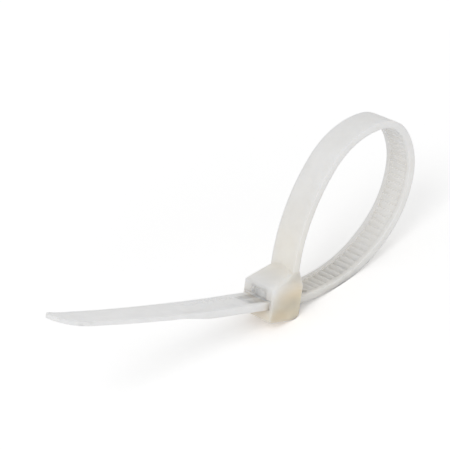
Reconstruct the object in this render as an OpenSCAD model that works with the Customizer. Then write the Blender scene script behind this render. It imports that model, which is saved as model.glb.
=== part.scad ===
// A nylon cable tie closed into one loop, with its tail pulled through its own head.
// It is one moulding: head, strap, tail and the toothed pawl inside the head.
// It stands as it comes to rest by itself, on the lower corner of the head and the belly of the loop.
// The strap is drawn in a flat side view (u along the slot, v along the root of the strap), where u = 0 is
// the exit face of the head and v = 0 the middle of the slot. The side view is then leaned and set down.

/* [Strap] */
// Width of the strap
strap_width = 7.6; // [6:0.1:9]
// Thickness of the strap over its rails
strap_thickness = 1.7; // [1.5:0.05:2]
// Width of each of the two side rails
rail_width = 1.2; // [0.8:0.05:1.6]
// Depth of the toothed channel below the rails
channel_depth = 0.65; // [0.5:0.05:0.8]
// Length of the plain stretch between the head and the first tooth
plain_length = 9.3; // [6:0.1:14]

/* [Teeth] */
// Distance from one tooth to the next
tooth_pitch = 1.65; // [1.4:0.05:2]
// Height of a tooth above the channel floor
tooth_height = 0.5; // [0.3:0.05:0.6]

/* [Loop] */
// Radius of the second bend of the loop, above the rising stretch
upper_radius = 19.4; // [17:0.1:22]
// Radius of the tightest bend, at the top of the loop
crown_radius = 8.5; // [7.5:0.1:10]
// Radius of the bend after the top
shoulder_radius = 14.5; // [13:0.1:16]
// Radius of the bend down to the belly
flank_radius = 22.3; // [20:0.1:25]
// Radius of the belly, which the loop stands on
belly_radius = 31.4; // [29:0.1:34]

/* [Tail] */
// Length of the toothed tail outside the head
toothed_tail = 17; // [12:0.1:24]
// Length over which the underside rises and the channel runs out
runout_length = 7; // [4:0.1:9]
// Length of the thin smooth tail after that
thin_tail = 34.7; // [28:0.1:42]
// Thickness of the thin tail
tail_thickness = 0.95; // [0.8:0.05:1.2]
// Height that the underside of the thin tail lies above that of the strap
tail_step = 0.75; // [0.5:0.05:0.8]
// Length of the straight stretch from the middle of the slot to the gentle bend
straight_tail = 12; // [9:0.5:16]
// Radius of the gentle upward bend of the tail
tail_radius = 500; // [400:10:1000]
// Length of the tip that curls up
curl_length = 9; // [6:0.5:12]
// Radius of that curl
curl_radius = 40; // [35:1:80]
// Length over which the tail narrows towards its end
taper_length = 34; // [26:0.5:38]
// Width that the tail would have at its end without its rounded point
end_width = 6.4; // [5:0.1:7.2]
// Length of the rounded point
tip_length = 10; // [6:0.5:12]

/* [Head] */
// Width of the head
head_width = 9.9; // [9.7:0.1:11]
// Length of the head along the slot
head_length = 8.9; // [8.7:0.1:10]
// Thickness of the head below the middle of the slot
head_below = 3.75; // [3.2:0.05:4.5]
// Height of the exit face above the middle of the slot
head_front = 4.2; // [4:0.1:5]
// Height of the root of the strap above the middle of the slot
root_height = 7.1; // [6.8:0.1:8]
// Distance from the entry face of the head to the inner face of the strap at its root
root_inset = 0.9; // [0.6:0.1:1.2]
// Radius of the lower corner on the entry side
heel_radius = 2; // [1.5:0.1:3]
// Radius of the lower corner on the exit side
toe_radius = 0.5; // [0.3:0.1:1.2]
// Radius of the upper edge of the exit face
brow_radius = 1.6; // [0.8:0.1:2]
// Radius of the upright edges of the head
side_radius = 0.5; // [0.4:0.05:0.8]
// Radius of the two edges of the head's sloping top
ridge_radius = 1.4; // [0.8:0.1:1.8]

/* [Slot and pawl] */
// Clearance above and below the strap in the slot
slot_clearance = 0.25; // [0.2:0.01:0.35]
// Clearance on each side of the strap in the slot
side_clearance = 0.15; // [0.1:0.01:0.25]
// Lead-in at the mouth where the strap enters
lead_in = 0.4; // [0.3:0.05:0.5]
// How far the strap lies below the middle of the slot, pressed down by the pawl
seat_drop = 0.12; // [0:0.01:0.15]
// Widening of the slot to each side at the exit face
flare = 0.45; // [0.3:0.05:0.65]
// Depth of that widening
flare_depth = 1.2; // [1:0.1:2]
// Width of the arched opening above the strap at the exit face
arch_width = 5.3; // [5.2:0.1:6.4]
// Radius of the upper corners of the arched opening
arch_radius = 1.3; // [0.5:0.1:2]
// Depth of the arched opening before the tip of the pawl
mouth_depth = 0.8; // [0.7:0.1:1.5]
// Thickness of the brow above the arched opening
brow_thickness = 1.1; // [0.9:0.1:1.4]
// Width of the pawl
pawl_width = 4.6; // [3.8:0.1:4.6]
// Clearance on each side of the pawl
pawl_clearance = 0.25; // [0.2:0.05:0.5]
// Thickness of the pawl above its teeth
pawl_thickness = 1.35; // [0.8:0.05:1.4]
// Gap between the teeth of the pawl and those of the strap
pawl_gap = 0.15; // [0.12:0.01:0.3]
// Number of teeth on the pawl
pawl_teeth = 3; // [2:1:3]

/* [Smoothness] */
// Angle between the points of a bend
bend_step = 3; // [2:1:6]

/* [Hidden] */

nylon = [0.93, 0.92, 0.88];
half_thickness = strap_thickness / 2;
half_width = strap_width / 2;
rail_inside = half_width - rail_width;
floor_level = half_thickness - channel_depth;
tooth_level = floor_level + min(tooth_height, channel_depth - 0.05);
slot_half = half_thickness + slot_clearance;
slot_width = strap_width + 2 * side_clearance;

// The strap leaves the head at root and comes back to the middle of the slot, where its tail begins.
root = [head_length - root_inset - half_thickness, root_height];
slot_middle = [head_length * 0.45, -seat_drop];
// How far the strap's drawing starts below the root, inside the head
embed = 2;

// Headings of the path between its bends, anticlockwise from the direction of the slot towards the loop.
headings = [90, 56.4, 8.6, -47, -90.8, -124, -160.5, -180];

// An arc that turns clockwise from heading a to heading b moves on by radius * reach(a, b).
function reach(a, b) = [sin(a) - sin(b), cos(b) - cos(a)];

// Five bends have radii of their own. The first and the last follow from them, so that the loop closes.
set_radii = [0, upper_radius, crown_radius, shoulder_radius, flank_radius, belly_radius, 0];
function sum(list, i = 0) = i == len(list) - 1 ? list[i] : list[i] + sum(list, i + 1);
open_reach = slot_middle - root - sum([for (i = [0:6]) set_radii[i] * reach(headings[i], headings[i + 1])]);
first_reach = reach(headings[0], headings[1]);
last_reach = reach(headings[6], headings[7]);
closing = first_reach.x * last_reach.y - first_reach.y * last_reach.x;
first_radius = (open_reach.x * last_reach.y - open_reach.y * last_reach.x) / closing;
entry_radius = (first_reach.x * open_reach.y - first_reach.y * open_reach.x) / closing;

// The tail adds three bends: one so wide that it is all but straight, the gentle bend and the curl.
tail_length = slot_middle.x + toothed_tail + runout_length + thin_tail;
straight_radius = 20000;
straight_turn = straight_tail / straight_radius * 180 / PI;
gentle_turn = (tail_length - straight_tail - curl_length) / tail_radius * 180 / PI;
curl_turn = curl_length / curl_radius * 180 / PI;
radii = [
    first_radius, upper_radius, crown_radius, shoulder_radius, flank_radius, belly_radius, entry_radius,
    straight_radius, tail_radius, curl_radius
];
turns = concat(headings, [
    -180 - straight_turn,
    -180 - straight_turn - gentle_turn,
    -180 - straight_turn - gentle_turn - curl_turn
]);
last_bend = 9;

// Length of each bend, and the path's length and place where each one starts.
lengths = [for (i = [0:last_bend]) radii[i] * (turns[i] - turns[i + 1]) * PI / 180];
function start_length(i) = i == 0 ? 0 : start_length(i - 1) + lengths[i - 1];
starts = [for (i = [0:last_bend + 1]) start_length(i)];
function start_place(i) = i == 0 ? root : start_place(i - 1) + radii[i - 1] * reach(turns[i - 1], turns[i]);
places = [for (i = [0:last_bend + 1]) start_place(i)];
loop_length = starts[7];
whole_length = starts[last_bend + 1];

// Bend number, heading and place at the distance s along the path, and the point at a height h on it.
function bend_at(s, i = last_bend) = i == 0 || s >= starts[i] ? i : bend_at(s, i - 1);
function heading_at(s, i) = turns[i] - (s - starts[i]) / radii[i] * 180 / PI;
function point_on(s, h, i, a) = places[i] + radii[i] * reach(turns[i], a) + h * [sin(a), -cos(a)];
function point_at(s, h) = let (i = bend_at(s)) point_on(s, h, i, heading_at(s, i));

// Distances along the path: its bends in even steps, and the places where its section changes.
bend_steps = [
    for (i = [0:last_bend])
        let (n = max(1, ceil((turns[i] - turns[i + 1]) / (i == 8 ? 0.5 : bend_step))))
        for (k = [0:n - 1]) starts[i] + lengths[i] * k / n
];
runout_start = loop_length + slot_middle.x + toothed_tail;
runout_end = runout_start + runout_length;
function plain_steps(from, to) = [for (s = bend_steps) if (s > from + 0.2 && s < to - 0.2) s];

// Height of the underside and of the rails at s. The thin tail is flush on top and higher below.
function runout(s) = s <= runout_start ? 0 : s >= runout_end ? 1 : (s - runout_start) / runout_length;
tail_top = -half_thickness + tail_step + tail_thickness;
function under_at(s) = -half_thickness + tail_step * runout(s);
function rail_at(s) = half_thickness + (tail_top - half_thickness) * runout(s);

outline_steps = concat(
    [-embed], plain_steps(-embed, runout_start), [runout_start, runout_end],
    plain_steps(runout_end, whole_length), [whole_length]
);
underside = [for (s = outline_steps) point_at(s, under_at(s))];
rail_line = [for (s = outline_steps) point_at(s, rail_at(s))];

// One tooth rises steeply on the side of the head's root and slopes down towards the tail.
tooth_shape = [[0, 0], [0.08, 1], [0.22, 1], [0.8, 0]];
tooth_count = floor((runout_start - plain_length) / tooth_pitch);
tooth_steps = [
    for (n = [0:tooth_count - 1])
        for (p = tooth_shape)
            [plain_length + (n + p.x) * tooth_pitch, floor_level + p.y * (tooth_level - floor_level)]
];
toothed_line = concat(
    [for (s = concat([-embed], plain_steps(-embed, plain_length - 1))) point_at(s, half_thickness)],
    [point_at(plain_length - 1, half_thickness), point_at(plain_length - 0.5, floor_level)],
    [for (p = tooth_steps) point_at(p[0], p[1])],
    [point_at(runout_start, floor_level), point_at(runout_end, tail_top)],
    [for (s = concat(plain_steps(runout_end, whole_length), [whole_length])) point_at(s, tail_top)]
);

function backwards(list) = [for (i = [len(list) - 1:-1:0]) list[i]];

// A closed outline with its corners rounded: each corner is [x, y, radius].
function rounded(corners, step = 15) = [
    for (i = [0:len(corners) - 1])
        let (
            n = len(corners),
            p = corners[i],
            before = corners[(i + n - 1) % n],
            after = corners[(i + 1) % n],
            v1 = [before.x - p.x, before.y - p.y] / norm([before.x - p.x, before.y - p.y]),
            v2 = [after.x - p.x, after.y - p.y] / norm([after.x - p.x, after.y - p.y]),
            half = acos(v1 * v2) / 2,
            centre = [p.x, p.y] + (v1 + v2) / norm(v1 + v2) * p[2] / sin(half),
            from = [p.x, p.y] + v1 * p[2] / tan(half) - centre,
            sweep = 180 - 2 * half,
            side = v1.x * v2.y - v1.y * v2.x > 0 ? -1 : 1,
            count = max(1, ceil(sweep / step))
        )
        for (k = [0:p[2] > 0 ? count : 0])
            let (a = side * sweep * k / count)
            p[2] > 0
                ? centre + [from.x * cos(a) - from.y * sin(a), from.x * sin(a) + from.y * cos(a)]
                : [p.x, p.y]
];

// Side view of the head. Its top slopes from the brow up to the root of the strap.
root_outside = root.x - half_thickness;
root_inside = root.x + half_thickness;
head_side = rounded([
    [0, -head_below, toe_radius],
    [head_length, -head_below, heel_radius],
    [head_length, head_front - 0.6, 2],
    [root_inside + 0.02, root_height + 0.5, 0],
    [root_outside + 0.02, root_height + 0.9, 0],
    [root_outside - 0.25, root_height + 0.25, 0],
    [root_outside - 0.9, root_height - 0.35, 0],
    [0, head_front, brow_radius]
]);

// End view of the head. It narrows from below the brow to the width of the strap.
neck_half = half_width + 0.02;
narrow_from = head_front - 0.8;
narrow_to = root_height + 0.2;
head_end = rounded([
    [-head_width / 2, -head_below - 1, 0],
    [head_width / 2, -head_below - 1, 0],
    [head_width / 2, narrow_from, 3],
    [neck_half, narrow_to, 0],
    [neck_half, root_height + 1, 0],
    [-neck_half, root_height + 1, 0],
    [-neck_half, narrow_to, 0],
    [-head_width / 2, narrow_from, 3]
]);
head_plan = rounded([
    [0, -head_width / 2, side_radius],
    [head_length, -head_width / 2, side_radius],
    [head_length, head_width / 2, side_radius],
    [0, head_width / 2, side_radius]
]);

// The two edges of the sloping top, between the slope and each side, are rounded by planes that touch a
// cylinder along the edge. The normals of the slope and of the narrowing side give its axis.
slope_rise = [root_outside - 0.9, root_height - 0.35 - head_front];
slope_normal = [-slope_rise.y, 0, slope_rise.x] / norm(slope_rise);
side_rise = [head_width / 2 - neck_half, narrow_to - narrow_from];
side_normal = [0, side_rise.y, side_rise.x] / norm(side_rise);
ridge_half = head_width / 2 - (head_front - narrow_from) * side_rise.x / side_rise.y;
ridge_axis = [0, ridge_half, head_front]
    - ridge_radius / (1 + slope_normal * side_normal) * (slope_normal + side_normal);
ridge_normals = [
    for (k = [1:4])
        let (n = slope_normal * k / 5 + side_normal * (5 - k) / 5)
            n / norm(n)
];

// The slot follows the strap, which still bends a little as it enters.
entry_drop = seat_drop + pow(head_length - slot_middle.x, 2) / (2 * entry_radius);
slot_side = [
    [-1, -slot_half],
    [slot_middle.x, -slot_half],
    [head_length - lead_in, -slot_half - entry_drop],
    [head_length + 1, -slot_half - entry_drop - 2 * lead_in],
    [head_length + 1, slot_half + 2 * lead_in],
    [head_length - lead_in, slot_half],
    [-1, slot_half]
];

// At the exit face the slot widens to both sides, and an arched opening above the strap shows the tip of
// the pawl. Behind it the room of the pawl rises under the shoulder.
mouth_top = head_front - brow_thickness;
pawl_room_back = root_outside + 0.7;
function flare_half(u) = slot_width / 2 + flare * (1 - u / flare_depth);
flare_plan = [
    [-1, -flare_half(-1)],
    [flare_depth + 0.3, -flare_half(flare_depth + 0.3)],
    [flare_depth + 0.3, flare_half(flare_depth + 0.3)],
    [-1, flare_half(-1)]
];
arch_end = rounded([
    [-arch_width / 2, 0, 0],
    [arch_width / 2, 0, 0],
    [arch_width / 2, mouth_top, arch_radius],
    [-arch_width / 2, mouth_top, arch_radius]
]);
room_side = [
    [mouth_depth - 0.5, 0],
    [pawl_room_back, 0],
    [pawl_room_back, mouth_top + 0.9],
    [mouth_depth - 0.5, mouth_top + 0.1]
];

// The pawl hangs from the back of its room and leans towards the exit, with its teeth over the channel.
pawl_tip = mouth_depth + 0.3;
pawl_low = tooth_level + pawl_gap;
pawl_face = pawl_low + tooth_height;
pawl_side = concat(
    [
        for (n = [0:pawl_teeth - 1])
            for (p = [[0, 0], [0.12, 0], [0.78, 1]])
                [pawl_tip + (n + p.x) * 0.8 * tooth_pitch, pawl_low + p.y * tooth_height + n * 0.12]
    ],
    [
        [pawl_room_back + 0.4, pawl_face + 0.9],
        [pawl_room_back + 0.4, pawl_face + 0.9 + pawl_thickness],
        [pawl_room_back - 1.2, pawl_face + 0.6 + pawl_thickness],
        [pawl_tip + 0.3, pawl_face + pawl_thickness],
        [pawl_tip - 0.15, pawl_face + pawl_thickness - 0.4]
    ]
);

// Half of the tail's width at the distance x from its end: a slow taper, and a rounded point.
function taper_half(x) = end_width / 2 + (half_width + 0.02 - end_width / 2) * min(1, x / taper_length);
function tail_half(x) = taper_half(x) * (x < tip_length ? sqrt(1 - pow(1 - x / tip_length, 2)) : 1);
tip_steps = concat([for (a = [12:6:90]) tip_length * (1 - cos(a))], [taper_length]);
tip_nose = tail_half(tip_steps[0]) / 2;
tip_plan = concat(
    [[0, -tip_nose]],
    [for (x = tip_steps) [x, -tail_half(x)]],
    [[taper_length, -half_width - 2], [taper_length, half_width + 2]],
    [for (i = [len(tip_steps) - 1:-1:0]) [tip_steps[i], tail_half(tip_steps[i])]],
    [[0, tip_nose]]
);

// The loop stands on the rounded heel of the head and on the outside of the belly bend. The line that
// touches both circles from below is the floor.
heel_centre = [head_length - heel_radius, -head_below + heel_radius];
belly_centre = places[5] + belly_radius * [sin(turns[5]), -cos(turns[5])];
between = belly_centre - heel_centre;
floor_normal = atan2(between.y, between.x)
    - acos((heel_radius - belly_radius - half_thickness) / norm(between));
lean = 90 + floor_normal;
function leaned(p) = [p.x * cos(lean) + p.y * sin(lean), p.y * cos(lean) - p.x * sin(lean)];

// Bounds of the leaned side view, which put the origin below the middle of the tie, on the floor.
leaned_outline = [for (p = concat(underside, rail_line, head_side)) leaned(p)];
left = min([for (p = leaned_outline) p.x]);
right = max([for (p = leaned_outline) p.x]);
bottom = min([for (p = leaned_outline) p.y]);

// Stretches a side view drawn in u and v over a width, evenly to both sides.
module across(width, shift = 0) {
    translate([0, shift, 0])
        rotate([90, 0, 0])
            translate([0, 0, -width / 2])
                linear_extrude(height = width)
                    children();
}

module strap() {
    color(nylon) {
        for (side = [-1, 1])
            across(rail_width, side * (half_width - rail_width / 2))
                polygon(concat(underside, backwards(rail_line)));
        across(2 * rail_inside)
            polygon(concat(underside, backwards(toothed_line)));
    }
}

// What is cut off beside the tapered tail and its pointed tip.
module tip_waste() {
    end = point_at(whole_length, under_at(whole_length));
    translate([end.x + 0.02, 0, end.y - tail_radius / 50])
        linear_extrude(height = tail_radius / 25)
            difference() {
                translate([-1, -half_width - 1])
                    square([taper_length + 1, strap_width + 2]);
                polygon(tip_plan);
            }
}

// The half space beyond a plane, as a block: the plane has the given point and unit normal.
module beyond(point, normal, size = 12) {
    translate(point)
        rotate([0, acos(normal.z), atan2(normal.y, normal.x)])
            translate([-size, -size, 0])
                cube([2 * size, 2 * size, size]);
}

module head() {
    color(nylon)
        difference() {
            intersection() {
                across(head_width + 2)
                    polygon(head_side);
                rotate([90, 0, 90])
                    translate([0, 0, -1])
                        linear_extrude(height = head_length + 2)
                            polygon(head_end);
                translate([0, 0, -head_below - 1])
                    linear_extrude(height = head_below + root_height + 3)
                        polygon(head_plan);
            }
            for (n = ridge_normals) {
                beyond(ridge_axis + ridge_radius * n, n);
                mirror([0, 1, 0])
                    beyond(ridge_axis + ridge_radius * n, n);
            }
            across(slot_width)
                polygon(slot_side);
            translate([0, 0, 0.1 - slot_half])
                linear_extrude(height = 2 * slot_half)
                    polygon(flare_plan);
            rotate([90, 0, 90])
                translate([0, 0, -1])
                    linear_extrude(height = mouth_depth + 1)
                        polygon(arch_end);
            across(pawl_width + 2 * pawl_clearance)
                polygon(room_side);
        }
}

module pawl() {
    color(nylon)
        across(pawl_width)
            polygon(pawl_side);
}

// The tie stands with the origin on the floor below the middle of its box.
module cable_tie() {
    translate([-(left + right) / 2, 0, -bottom])
        rotate([0, lean, 0]) {
            difference() {
                strap();
                tip_waste();
            }
            head();
            pawl();
        }
}

cable_tie();
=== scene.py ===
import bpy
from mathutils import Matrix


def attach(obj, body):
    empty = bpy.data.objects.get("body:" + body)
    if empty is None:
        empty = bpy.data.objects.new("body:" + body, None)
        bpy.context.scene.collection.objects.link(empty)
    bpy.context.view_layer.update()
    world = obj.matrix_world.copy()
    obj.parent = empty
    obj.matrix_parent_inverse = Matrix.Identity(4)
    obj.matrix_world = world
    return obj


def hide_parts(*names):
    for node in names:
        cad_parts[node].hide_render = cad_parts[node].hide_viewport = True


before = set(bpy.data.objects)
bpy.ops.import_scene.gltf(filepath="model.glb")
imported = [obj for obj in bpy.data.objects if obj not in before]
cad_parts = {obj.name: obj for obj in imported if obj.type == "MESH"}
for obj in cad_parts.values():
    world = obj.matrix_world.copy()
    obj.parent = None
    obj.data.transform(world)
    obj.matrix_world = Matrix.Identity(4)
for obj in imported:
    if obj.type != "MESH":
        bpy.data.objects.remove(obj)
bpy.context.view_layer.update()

import math

import bmesh
import bpy
from mathutils import Matrix, Vector

scene = bpy.context.scene

# All lengths are in metres.

# Camera, placed as the photograph's was: its place, its axes and its lens
CAMERA_PLACE = (-0.256544, -0.372062, 0.303073)
CAMERA_RIGHT = Vector((0.743536, -0.643256, -0.182693))
CAMERA_UP = Vector((0.463324, 0.298581, 0.834373))
CAMERA_BACK = Vector((-0.482167, -0.705033, 0.520042))
LENS_MM = 195.551
SENSOR_MM = 36

# Directions along the slot towards the entry side, and up from it, as the tie stands
ALONG_SLOT = Vector((0.91835, 0.0, -0.39577))
ABOVE_SLOT = Vector((0.39577, 0.0, 0.91835))

# Lower corner of the head on the entry side, in those two directions
HEEL_ALONG = 0.008172
HEEL_ABOVE = 0.002832

# Noise of the flow marks and of the grain
NOISE_DETAIL = 4.0
NOISE_ROUGHNESS = 0.6

# Flow marks of the mould, from the darker to the paler nylon: place on the ramp and colour
FLOW_MARKS = ((0.35, (0.84, 0.84, 0.836, 1)), (0.7, (0.9, 0.9, 0.895, 1)))
FLOW_MARKS_SCALE = 200.0

# Fine grain of the surface
GRAIN_SCALE = 1400.0
GRAIN_STRENGTH = 0.12
GRAIN_HEIGHT = 0.00006

# Cream tint of the bent strap: where along X it sets in, where it fades with height, and where
# along X it fades beyond the stretch that rises from the head
CREAM = (1.0, 0.957, 0.885, 1)
CREAM_STARTS = (-0.002, 0.012)
CREAM_FADES_UP = (0.015, 0.029)
CREAM_LEFT_AT_TOP = 0.3
CREAM_FADES_BEYOND = (0.02, 0.036)
CREAM_LEFT_BEYOND = 0.5

# Amber tint of the thick head, partly the nylon's own colour and partly painted shade towards its
# lower corner: the distances from that corner at which it begins and is full.
# Both directions are stretched for it.
AMBER_AND_SHADE = (1.0, 0.86, 0.7, 1)
AMBER_AND_SHADE_REACH = (0.0116, 0.006)
AMBER_STRETCH_ALONG = 0.85
AMBER_STRETCH_ABOVE = 1.1
# How far past the corner the tint ends, so that the strap behind the head keeps its own colour
AMBER_ENDS_PAST_HEEL = (0.0006, 0.0001)

# Painted light in the room inside the head, where the strap passes the pawl: its middle, and the
# distances from there at which it begins and is full. The distance across the strap counts less.
PAINTED_LIGHT_PALE = (0.96, 0.955, 0.93, 1)
ROOM_MIDDLE = (0.0046, 0.0, 0.0062)
ROOM_SHARE = (1.0, 0.6, 1.0)
ROOM_REACH = (0.004, 0.0032)
# It begins behind the exit face, in the stretched direction along the slot, and stays between the
# side walls
ROOM_FROM_FACE = (-0.00055, -0.0002)
ROOM_BETWEEN_WALLS = (0.00455, 0.0043)
# Painted glow there, a faint emission that stands in for the light coming through the thin walls
PAINTED_GLOW = 0.06

# Zone of the head for the eased edges, and the least angle of an edge that is eased
HEAD_MIDDLE = Vector((0.00677, 0.0, 0.00632))
HEAD_REACH = 0.0085
SHARP_ANGLE = math.radians(28)
# Width of the eased edges on the strap and at the head, and the least length of the edges beside
# them, in widths
EASED_ON_STRAP = 0.00006
EASED_AT_HEAD = 0.00012
LEAST_NEIGHBOUR = 2.2
# Flat faces are joined below this angle, and points and slivers below these sizes are merged
FLAT_ANGLE = math.radians(0.6)
SAME_POINT = 1e-6
SLIVER = 5e-6

# Floor: half its size, its colour, and the camera's extra light on it near the tie and far from it
FLOOR_HALF = 1.5
FLOOR_COLOUR = (0.95, 0.95, 0.95, 1)
FLOOR_NEAR = 0.05
FLOOR_FAR = 0.4
EXTRA_NEAR = 0.262
EXTRA_FAR = 0.5

# Light: the world's strength, and each lamp's name, place, size and power in watts
WHITE = (1, 1, 1, 1)
WORLD_STRENGTH = 0.62
LAMPS_AIM = Vector((0, 0, 0.015))
LAMPS = (
    ("top", (-0.24, -0.16, 0.41), 0.22, 0.46),
    ("key", (-0.4, -0.1, 0.26), 0.25, 0.1),
    ("fill", (0.2, -0.36, 0.12), 0.3, 0.12),
)


def node(tree, kind, place=(0, 0), **values):
    """Adds a shader node and sets its inputs and settings by name."""
    made = tree.nodes.new(kind)
    made.location = place
    for key, value in values.items():
        if key in made.inputs:
            made.inputs[key].default_value = value
        else:
            setattr(made, key, value)
    return made


def smooth_range(tree, place, value, span, low=0.0, high=1.0):
    """Goes smoothly from low to high as a value goes through a span."""
    made = node(tree, "ShaderNodeMapRange", place, interpolation_type="SMOOTHSTEP")
    made.inputs["From Min"].default_value = span[0]
    made.inputs["From Max"].default_value = span[1]
    made.inputs["To Min"].default_value = low
    made.inputs["To Max"].default_value = high
    tree.links.new(value, made.inputs["Value"])
    return made.outputs["Result"]


def product(tree, place, first, second):
    """Multiplies two values."""
    made = node(tree, "ShaderNodeMath", place, operation="MULTIPLY")
    tree.links.new(first, made.inputs[0])
    tree.links.new(second, made.inputs[1])
    return made.outputs["Value"]


def tinted(tree, place, colour, tint, amount, blend):
    """Blends a tint into a colour by an amount."""
    made = node(tree, "ShaderNodeMix", place, data_type="RGBA", blend_type=blend)
    made.inputs["B"].default_value = tint
    tree.links.new(colour, made.inputs["A"])
    tree.links.new(amount, made.inputs["Factor"])
    return made.outputs["Result"]


def noise(tree, place, point, scale):
    made = node(
        tree, "ShaderNodeTexNoise", place,
        Scale=scale, Detail=NOISE_DETAIL, Roughness=NOISE_ROUGHNESS,
    )
    tree.links.new(point, made.inputs["Vector"])
    return made.outputs["Fac"]


def distance_along(tree, place, point, direction):
    """Distance of a point along a direction."""
    made = node(tree, "ShaderNodeVectorMath", place, operation="DOT_PRODUCT")
    made.inputs[1].default_value = direction
    tree.links.new(point, made.inputs[0])
    return made.outputs["Value"]


def distance_to(tree, place, point, middle):
    """Distance of a point from a fixed one."""
    made = node(tree, "ShaderNodeVectorMath", place, operation="DISTANCE")
    made.inputs[1].default_value = middle
    tree.links.new(point, made.inputs[0])
    return made.outputs["Value"]


def make_camera():
    data = bpy.data.cameras.new("camera")
    data.lens = LENS_MM
    data.sensor_width = SENSOR_MM
    data.clip_start = 0.01
    data.clip_end = 20
    camera = bpy.data.objects.new("camera", data)
    scene.collection.objects.link(camera)
    turn = Matrix((CAMERA_RIGHT, CAMERA_UP, CAMERA_BACK)).transposed().to_4x4()
    camera.matrix_world = Matrix.Translation(CAMERA_PLACE) @ turn
    scene.camera = camera


# Faint flow marks from the mould
def flow_marks(tree, place):
    cloud = noise(tree, (-700, 200), place, FLOW_MARKS_SCALE)
    marks = node(tree, "ShaderNodeValToRGB", (-400, 200))
    for stop, (position, colour) in zip(marks.color_ramp.elements, FLOW_MARKS):
        stop.position = position
        stop.color = colour
    tree.links.new(cloud, marks.inputs["Fac"])
    return marks.outputs["Color"]


def grain(tree, place):
    height = noise(tree, (-700, -300), place, GRAIN_SCALE)
    bump = node(tree, "ShaderNodeBump", (200, -300), Strength=GRAIN_STRENGTH, Distance=GRAIN_HEIGHT)
    tree.links.new(height, bump.inputs["Height"])
    return bump.outputs["Normal"]


# The bent part of the strap is a little creamier than the tail, most where it rises from the head
def cream_amount(tree, axes):
    bent = smooth_range(tree, (-400, 800), axes["X"], CREAM_STARTS)
    low = smooth_range(tree, (-550, 950), axes["Z"], CREAM_FADES_UP, 1.0, CREAM_LEFT_AT_TOP)
    near = smooth_range(tree, (-550, 650), axes["X"], CREAM_FADES_BEYOND, 1.0, CREAM_LEFT_BEYOND)
    lower_part = product(tree, (-400, 950), low, near)
    return product(tree, (-300, 950), bent, lower_part)


# Thick nylon looks amber, and the lower corner of the head, where no light comes through, lies in
# shade:
# the tint, partly the nylon's own colour and partly painted shade, grows towards that corner
def amber_and_shade_amount(tree, place, along):
    above = distance_along(tree, (-1000, 350), place, ABOVE_SLOT * AMBER_STRETCH_ABOVE)
    both = node(tree, "ShaderNodeCombineXYZ", (-850, 450))
    tree.links.new(along, both.inputs["X"])
    tree.links.new(above, both.inputs["Y"])
    heel = (HEEL_ALONG * AMBER_STRETCH_ALONG, HEEL_ABOVE * AMBER_STRETCH_ABOVE, 0.0)
    from_heel = distance_to(tree, (-700, 500), both.outputs["Vector"], heel)
    thick_and_shaded = smooth_range(tree, (-400, 500), from_heel, AMBER_AND_SHADE_REACH)
    ends = [(HEEL_ALONG + past) * AMBER_STRETCH_ALONG for past in AMBER_ENDS_PAST_HEEL]
    back = smooth_range(tree, (-700, 350), along, ends)
    return product(tree, (-230, 450), thick_and_shaded, back)


# Painted light: the gaps inside the head are painted pale and given a faint glow, standing in for
# the light that comes through the thin walls round the slot, so they are never dark
def painted_light_amount(tree, place, axes, along):
    narrow = node(tree, "ShaderNodeVectorMath", (-900, 1100), operation="MULTIPLY")
    narrow.inputs[1].default_value = ROOM_SHARE
    tree.links.new(place, narrow.inputs[0])
    from_middle = distance_to(tree, (-700, 1100), narrow.outputs["Vector"], ROOM_MIDDLE)
    near = smooth_range(tree, (-400, 1100), from_middle, ROOM_REACH)
    behind_face = smooth_range(tree, (-400, 1400), along, ROOM_FROM_FACE)
    side = node(tree, "ShaderNodeMath", (-600, 1700), operation="ABSOLUTE")
    tree.links.new(axes["Y"], side.inputs[0])
    between_walls = smooth_range(tree, (-400, 1700), side.outputs["Value"], ROOM_BETWEEN_WALLS)
    partly = product(tree, (-200, 1300), near, behind_face)
    return product(tree, (0, 1200), partly, between_walls)


# Natural nylon: milky, a little translucent
def nylon_material():
    material = bpy.data.materials.new("natural_nylon")
    material.use_nodes = True
    tree = material.node_tree
    tree.nodes.clear()
    out = node(tree, "ShaderNodeOutputMaterial", (900, 0))
    shader = node(tree, "ShaderNodeBsdfPrincipled", (600, 0))
    shader.inputs["Roughness"].default_value = 0.42
    shader.inputs["IOR"].default_value = 1.53
    shader.inputs["Subsurface Weight"].default_value = 1.0
    shader.inputs["Subsurface Radius"].default_value = (1.0, 0.96, 0.9)
    shader.inputs["Subsurface Scale"].default_value = 0.004
    shader.inputs["Specular IOR Level"].default_value = 0.4
    place = node(tree, "ShaderNodeTexCoord", (-1000, 0)).outputs["Object"]
    split = node(tree, "ShaderNodeSeparateXYZ", (-700, 800))
    tree.links.new(place, split.inputs[0])
    axes = split.outputs
    along = distance_along(tree, (-1000, 500), place, ALONG_SLOT * AMBER_STRETCH_ALONG)

    colour = flow_marks(tree, place)
    colour = tinted(tree, (-230, 600), colour, CREAM, cream_amount(tree, axes), "MULTIPLY")
    # Amber of the thick head, with painted shade at its lower corner
    colour = tinted(tree, (-50, 350), colour, AMBER_AND_SHADE, amber_and_shade_amount(tree, place, along), "MULTIPLY")
    # Painted light and a painted glow in the gaps inside the head
    painted_light_inside = painted_light_amount(tree, place, axes, along)
    colour = tinted(tree, (200, 500), colour, PAINTED_LIGHT_PALE, painted_light_inside, "MIX")
    glow = node(tree, "ShaderNodeMath", (300, 1200), operation="MULTIPLY")
    glow.inputs[1].default_value = PAINTED_GLOW
    tree.links.new(painted_light_inside, glow.inputs[0])
    tree.links.new(colour, shader.inputs["Base Color"])
    tree.links.new(glow.outputs["Value"], shader.inputs["Emission Strength"])
    tree.links.new(grain(tree, place), shader.inputs["Normal"])
    tree.links.new(shader.outputs["BSDF"], out.inputs["Surface"])
    return material


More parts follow.
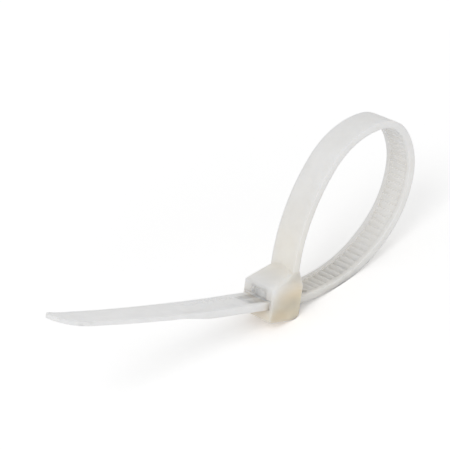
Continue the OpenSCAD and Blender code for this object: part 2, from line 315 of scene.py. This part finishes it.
# Eases the sharp edges by a width, in the head's zone or outside it, but none beside a short edge
def ease_edges(mesh, width, in_head):
    sharp = []
    for edge in mesh.edges:
        if len(edge.link_faces) != 2 or edge.calc_face_angle(0) <= SHARP_ANGLE:
            continue
        near_head = any((vert.co - HEAD_MIDDLE).length < HEAD_REACH for vert in edge.verts)
        shortest = min(other.calc_length() for vert in edge.verts for other in vert.link_edges)
        if near_head == in_head and shortest >= LEAST_NEIGHBOUR * width:
            sharp.append(edge)
    bmesh.ops.bevel(
        mesh, geom=sharp, offset=width, offset_type="OFFSET", segments=2, profile=0.5,
        affect="EDGES", clamp_overlap=in_head,
    )
    bmesh.ops.dissolve_degenerate(mesh, dist=SAME_POINT, edges=mesh.edges)


# The tie itself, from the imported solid, with its moulded edges eased
def make_tie(material):
    mesh = bmesh.new()
    mesh.from_mesh(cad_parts["cable_tie"].data)
    bmesh.ops.remove_doubles(mesh, verts=mesh.verts, dist=SAME_POINT)
    bmesh.ops.dissolve_degenerate(mesh, dist=SLIVER, edges=mesh.edges)
    bmesh.ops.dissolve_limit(mesh, angle_limit=FLAT_ANGLE, verts=mesh.verts, edges=mesh.edges)
    ease_edges(mesh, EASED_ON_STRAP, in_head=False)
    ease_edges(mesh, EASED_AT_HEAD, in_head=True)
    bmesh.ops.recalc_face_normals(mesh, faces=mesh.faces)
    data = bpy.data.meshes.new("tie")
    mesh.to_mesh(data)
    mesh.free()
    tie = bpy.data.objects.new("tie", data)
    scene.collection.objects.link(tie)
    data.materials.append(material)
    for polygon in data.polygons:
        polygon.use_smooth = True
    weighted = tie.modifiers.new("weighted", "WEIGHTED_NORMAL")
    weighted.keep_sharp = True
    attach(tie, "root")
    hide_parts("cable_tie")


# The floor's material is white to the camera and keeps the shadow
def floor_material():
    material = bpy.data.materials.new("floor")
    material.use_nodes = True
    tree = material.node_tree
    tree.nodes.clear()
    out = node(tree, "ShaderNodeOutputMaterial", (600, 0))
    diffuse = node(tree, "ShaderNodeBsdfDiffuse", (0, 0))
    diffuse.inputs["Color"].default_value = FLOOR_COLOUR
    glow = node(tree, "ShaderNodeEmission", (0, -200))
    glow.inputs["Color"].default_value = WHITE
    path = node(tree, "ShaderNodeLightPath", (-300, -200))
    spot = node(tree, "ShaderNodeTexCoord", (-900, -300))
    away = node(tree, "ShaderNodeVectorMath", (-700, -300), operation="LENGTH")
    level = node(tree, "ShaderNodeMapRange", (-500, -300))
    level.inputs["From Min"].default_value = FLOOR_NEAR
    level.inputs["From Max"].default_value = FLOOR_FAR
    level.inputs["To Min"].default_value = EXTRA_NEAR
    level.inputs["To Max"].default_value = EXTRA_FAR
    both = node(tree, "ShaderNodeAddShader", (300, 0))
    tree.links.new(spot.outputs["Object"], away.inputs[0])
    tree.links.new(away.outputs["Value"], level.inputs["Value"])
    strength = product(tree, (-100, -300), path.outputs["Is Camera Ray"], level.outputs["Result"])
    tree.links.new(strength, glow.inputs["Strength"])
    tree.links.new(diffuse.outputs[0], both.inputs[0])
    tree.links.new(glow.outputs[0], both.inputs[1])
    tree.links.new(both.outputs[0], out.inputs["Surface"])
    return material


def make_floor():
    half = FLOOR_HALF
    corners = [(-half, -half, 0), (half, -half, 0), (half, half, 0), (-half, half, 0)]
    data = bpy.data.meshes.new("floor")
    data.from_pydata(corners, [], [(0, 1, 2, 3)])
    data.materials.append(floor_material())
    floor = bpy.data.objects.new("floor", data)
    scene.collection.objects.link(floor)


# An even light from all round, which the camera sees as white
def make_world():
    world = bpy.data.worlds.new("world")
    scene.world = world
    world.use_nodes = True
    tree = world.node_tree
    tree.nodes.clear()
    out = node(tree, "ShaderNodeOutputWorld", (600, 0))
    soft = node(tree, "ShaderNodeBackground", (0, 0), Color=WHITE, Strength=WORLD_STRENGTH)
    white = node(tree, "ShaderNodeBackground", (0, -200), Color=WHITE, Strength=1.0)
    path = node(tree, "ShaderNodeLightPath", (-300, 200))
    mix = node(tree, "ShaderNodeMixShader", (300, 0))
    tree.links.new(path.outputs["Is Camera Ray"], mix.inputs["Fac"])
    tree.links.new(soft.outputs[0], mix.inputs[1])
    tree.links.new(white.outputs[0], mix.inputs[2])
    tree.links.new(mix.outputs[0], out.inputs["Surface"])


def make_lamps():
    for name, place, size, power in LAMPS:
        data = bpy.data.lights.new(name, "AREA")
        data.shape = "SQUARE"
        data.size = size
        data.energy = power
        lamp = bpy.data.objects.new(name, data)
        scene.collection.objects.link(lamp)
        lamp.location = place
        lamp.rotation_mode = "QUATERNION"
        lamp.rotation_quaternion = (LAMPS_AIM - Vector(place)).to_track_quat("-Z", "Y")


scene.view_settings.view_transform = "Standard"
make_camera()
make_tie(nylon_material())
make_floor()
make_world()
make_lamps()

bpy.context.view_layer.update()
